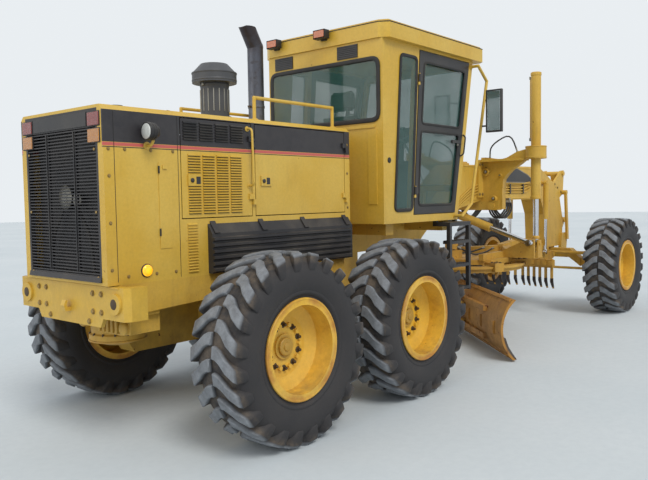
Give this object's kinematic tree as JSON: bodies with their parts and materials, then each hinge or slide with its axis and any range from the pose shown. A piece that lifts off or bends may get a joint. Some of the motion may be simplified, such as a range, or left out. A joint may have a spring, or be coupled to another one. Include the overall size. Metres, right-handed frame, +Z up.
{
  "type": "motor grader",
  "caption": "Yellow road grader with tandem rear wheels, tall glazed cab, arched front frame, turning blade on a circle, scarifier and leaning front wheels.",
  "frame": {"origin": "on the floor, below the middle of the outside box", "axes": "+X forward, the way it drives, +Y to the driver's left, +Z up"},
  "size_m": [8.565, 2.7413, 3.27],
  "materials": {
    "yellow_paint": "faded gloss, rust at edges",
    "black_paint": "satin",
    "frame_yellow": "faded, dusty",
    "tyre": "worn, dusty",
    "rim": "faded, rust stained",
    "chrome_rod": "polished",
    "glass": "clear, tinted green",
    "lamp_red": "lens",
    "cab_inside": "grained",
    "seat_cloth": "woven",
    "cast": "dark, rusty",
    "blade_steel": "worn, rusty yellow"
  },
  "bodies": {
    "rear_group": {"rear_frame": "frame_yellow", "engine_block": "cast", "hood": "yellow_paint", "grille": "black_paint", "bumper": "yellow_paint", "tail_lamps": "lamp_red", "air_precleaner": "black_paint", "exhaust_stack": "black_paint", "side_covers": "black_paint", "tandem_cases": "frame_yellow"},
    "engine_door_right_rear": {"engine_door_right_rear": "yellow_paint"},
    "engine_door_right_front": {"engine_door_right_front": "yellow_paint"},
    "engine_door_left_rear": {"engine_door_left_rear": "yellow_paint"},
    "engine_door_left_front": {"engine_door_left_front": "yellow_paint"},
    "wheel_right_rear": {"tyre_right_rear": "tyre", "rim_right_rear": "rim"},
    "wheel_right_mid": {"tyre_right_mid": "tyre", "rim_right_mid": "rim"},
    "wheel_left_rear": {"tyre_left_rear": "tyre", "rim_left_rear": "rim"},
    "wheel_left_mid": {"tyre_left_mid": "tyre", "rim_left_mid": "rim"},
    "front_group": {"front_frame": "frame_yellow", "cab_shell": "yellow_paint", "cab_roof": "yellow_paint", "cab_glass": "glass", "cab_interior": "cab_inside", "seat": "seat_cloth", "cab_steps": "black_paint", "cab_rails": "yellow_paint", "cab_fittings": "black_paint", "lift_arms": "frame_yellow", "front_axle": "frame_yellow"},
    "cab_door_right": {"cab_door_right": "black_paint", "door_glass_right": "glass"},
    "cab_door_left": {"cab_door_left": "black_paint", "door_glass_left": "glass"},
    "lean_fork_right": {"lean_fork_right": "frame_yellow"},
    "lean_fork_left": {"lean_fork_left": "frame_yellow"},
    "lean_bar": {"lean_bar": "frame_yellow"},
    "knuckle_right": {"knuckle_right": "frame_yellow"},
    "knuckle_left": {"knuckle_left": "frame_yellow"},
    "tie_rod": {"tie_rod": "frame_yellow"},
    "wheel_right_front": {"tyre_right_front": "tyre", "rim_right_front": "rim"},
    "wheel_left_front": {"tyre_left_front": "tyre", "rim_left_front": "rim"},
    "drawbar": {"drawbar": "frame_yellow"},
    "blade_circle": {"blade_circle": "frame_yellow"},
    "blade_carrier": {"blade_carrier": "frame_yellow"},
    "blade": {"blade": "blade_steel"},
    "lift_barrel_right": {"lift_barrel_right": "frame_yellow"},
    "lift_rod_right": {"lift_rod_right": "chrome_rod"},
    "lift_barrel_left": {"lift_barrel_left": "frame_yellow"},
    "lift_rod_left": {"lift_rod_left": "chrome_rod"},
    "shift_barrel": {"shift_barrel": "frame_yellow"},
    "shift_rod": {"shift_rod": "chrome_rod"},
    "scarifier": {"scarifier": "frame_yellow"},
    "scarifier_barrel": {"scarifier_barrel": "frame_yellow"},
    "scarifier_rod": {"scarifier_rod": "chrome_rod"}
  },
  "joints": [
    {"name": "articulation", "type": "hinge", "parent": "rear_group", "child": "front_group", "pos_m": [-1.588, 0, 0.9], "axis": [0, 0, 1], "range_deg": [-20, 20]},
    {"name": "roll_right_rear", "type": "hinge", "parent": "rear_group", "child": "wheel_right_rear", "pos_m": [-3.2505, -1.0685, 0.665], "axis": [0, 1, 0], "continuous": true},
    {"name": "roll_right_mid", "type": "hinge", "parent": "rear_group", "child": "wheel_right_mid", "pos_m": [-1.7255, -1.0685, 0.665], "axis": [0, 1, 0], "continuous": true},
    {"name": "roll_left_rear", "type": "hinge", "parent": "rear_group", "child": "wheel_left_rear", "pos_m": [-3.2505, 1.0685, 0.665], "axis": [0, 1, 0], "continuous": true},
    {"name": "roll_left_mid", "type": "hinge", "parent": "rear_group", "child": "wheel_left_mid", "pos_m": [-1.7255, 1.0685, 0.665], "axis": [0, 1, 0], "continuous": true},
    {"name": "engine_door_right_rear_hinge", "type": "hinge", "parent": "rear_group", "child": "engine_door_right_rear", "pos_m": [-2.988, -0.533, 1.9], "axis": [0, 0, 1], "range_deg": [0, 95]},
    {"name": "engine_door_right_front_hinge", "type": "hinge", "parent": "rear_group", "child": "engine_door_right_front", "pos_m": [-1.863, -0.533, 1.9], "axis": [0, 0, 1], "range_deg": [0, 75]},
    {"name": "cab_door_right_hinge", "type": "hinge", "parent": "front_group", "child": "cab_door_right", "pos_m": [-1.058, -0.724, 1.51], "axis": [-0.082, 0, -0.9966], "range_deg": [0, 95]},
    {"name": "engine_door_left_rear_hinge", "type": "hinge", "parent": "rear_group", "child": "engine_door_left_rear", "pos_m": [-2.988, 0.533, 1.9], "axis": [0, 0, -1], "range_deg": [0, 95]},
    {"name": "engine_door_left_front_hinge", "type": "hinge", "parent": "rear_group", "child": "engine_door_left_front", "pos_m": [-1.863, 0.533, 1.9], "axis": [0, 0, -1], "range_deg": [0, 75]},
    {"name": "cab_door_left_hinge", "type": "hinge", "parent": "front_group", "child": "cab_door_left", "pos_m": [-1.058, 0.724, 1.51], "axis": [0.082, 0, 0.9966], "range_deg": [0, 95]},
    {"name": "lean_right", "type": "hinge", "parent": "front_group", "child": "lean_fork_right", "pos_m": [3.61, -0.6815, 0.685], "axis": [-1, 0, 0], "range_deg": [-18, 18]},
    {"name": "lean_left", "type": "hinge", "parent": "front_group", "child": "lean_fork_left", "pos_m": [3.61, 0.6815, 0.685], "axis": [-1, 0, 0], "range_deg": [-18, 18]},
    {"name": "lean_bar_hinge", "type": "hinge", "parent": "lean_fork_right", "child": "lean_bar", "pos_m": [3.488, -0.6815, 0.825], "axis": [-1, 0, 0], "range_deg": [-18, 18]},
    {"name": "steer_right", "type": "hinge", "parent": "lean_fork_right", "child": "knuckle_right", "pos_m": [3.61, -0.8515, 0.685], "axis": [0, 0, 1], "range_deg": [-50, 50]},
    {"name": "roll_right_front", "type": "hinge", "parent": "knuckle_right", "child": "wheel_right_front", "pos_m": [3.61, -1.0415, 0.665], "axis": [0, 1, 0], "continuous": true},
    {"name": "steer_left", "type": "hinge", "parent": "lean_fork_left", "child": "knuckle_left", "pos_m": [3.61, 0.8515, 0.685], "axis": [0, 0, 1], "range_deg": [-50, 50]},
    {"name": "roll_left_front", "type": "hinge", "parent": "knuckle_left", "child": "wheel_left_front", "pos_m": [3.61, 1.0415, 0.665], "axis": [0, 1, 0], "continuous": true},
    {"name": "tie_rod_slide", "type": "slide", "parent": "front_group", "child": "tie_rod", "axis": [0, 1, 0], "range_m": [-0.1, 0.1]},
    {"name": "drawbar_lift", "type": "hinge", "parent": "front_group", "child": "drawbar", "pos_m": [3.262, 0, 0.98], "axis": [0, 1, 0], "range_deg": [-15, 10]},
    {"name": "lift_swing_right", "type": "hinge", "parent": "front_group", "child": "lift_barrel_right", "pos_m": [1.387, -0.855, 2.19], "axis": [0, 1, 0], "range_deg": [-1, 1]},
    {"name": "lift_stroke_right", "type": "slide", "parent": "lift_barrel_right", "child": "lift_rod_right", "axis": [0, 0, 1], "range_m": [-0.49, 0.33]},
    {"name": "lift_swing_left", "type": "hinge", "parent": "front_group", "child": "lift_barrel_left", "pos_m": [1.387, 0.855, 2.19], "axis": [0, 1, 0], "range_deg": [-1, 1]},
    {"name": "lift_stroke_left", "type": "slide", "parent": "lift_barrel_left", "child": "lift_rod_left", "axis": [0, 0, 1], "range_m": [-0.49, 0.33]},
    {"name": "circle_turn", "type": "hinge", "parent": "drawbar", "child": "blade_circle", "pos_m": [1.112, 0, 0.824], "axis": [0, 0, 1], "range_deg": [-5, 93]},
    {"name": "blade_tip", "type": "hinge", "parent": "blade_circle", "child": "blade_carrier", "pos_m": [0.92353, 0.182, 0.265], "axis": [0.6947, 0.7193, 0], "range_deg": [-5, 40]},
    {"name": "blade_side_shift", "type": "slide", "parent": "blade_carrier", "child": "blade", "axis": [-0.6947, -0.7193, 0], "range_m": [-0.5, 0.5]},
    {"name": "shift_swing", "type": "hinge", "parent": "front_group", "child": "shift_barrel", "pos_m": [1.212, 0.35, 1.53], "axis": [1, 0, 0], "range_deg": [-14, 20]},
    {"name": "shift_stroke", "type": "slide", "parent": "shift_barrel", "child": "shift_rod", "axis": [0, -0.9434, -0.3316], "range_m": [-0.13, 0.19]},
    {"name": "scarifier_lift", "type": "hinge", "parent": "front_group", "child": "scarifier", "pos_m": [3.39, 0, 0.8], "axis": [0, 1, 0], "range_deg": [-34, 8]},
    {"name": "scarifier_swing", "type": "hinge", "parent": "front_group", "child": "scarifier_barrel", "pos_m": [3.05, 0, 1.85], "axis": [0, 1, 0], "range_deg": [-2, 2]},
    {"name": "scarifier_stroke", "type": "slide", "parent": "scarifier_barrel", "child": "scarifier_rod", "axis": [-0.0303, 0, -0.9995], "range_m": [-0.06, 0.225]}
  ],
  "couplings": [
    {"joint": "lean_left", "follows": "lean_right", "ratio": 1},
    {"joint": "lean_bar_hinge", "follows": "lean_right", "ratio": -1},
    {"joint": "steer_left", "follows": "steer_right", "ratio": 1},
    {"joint": "tie_rod_slide", "follows": "steer_right", "m_per_rad": -0.11},
    {"joint": "lift_swing_right", "follows": "drawbar_lift", "ratio": -0.03},
    {"joint": "lift_swing_left", "follows": "drawbar_lift", "ratio": -0.03},
    {"joint": "lift_stroke_right", "follows": "drawbar_lift", "m_per_rad": 1.86},
    {"joint": "lift_stroke_left", "follows": "drawbar_lift", "m_per_rad": 1.86},
    {"joint": "shift_swing", "follows": "drawbar_lift", "ratio": -1.3},
    {"joint": "shift_stroke", "follows": "drawbar_lift", "m_per_rad": -0.7},
    {"joint": "scarifier_swing", "follows": "scarifier_lift", "ratio": 0.05},
    {"joint": "scarifier_stroke", "follows": "scarifier_lift", "m_per_rad": -0.366}
  ]
}
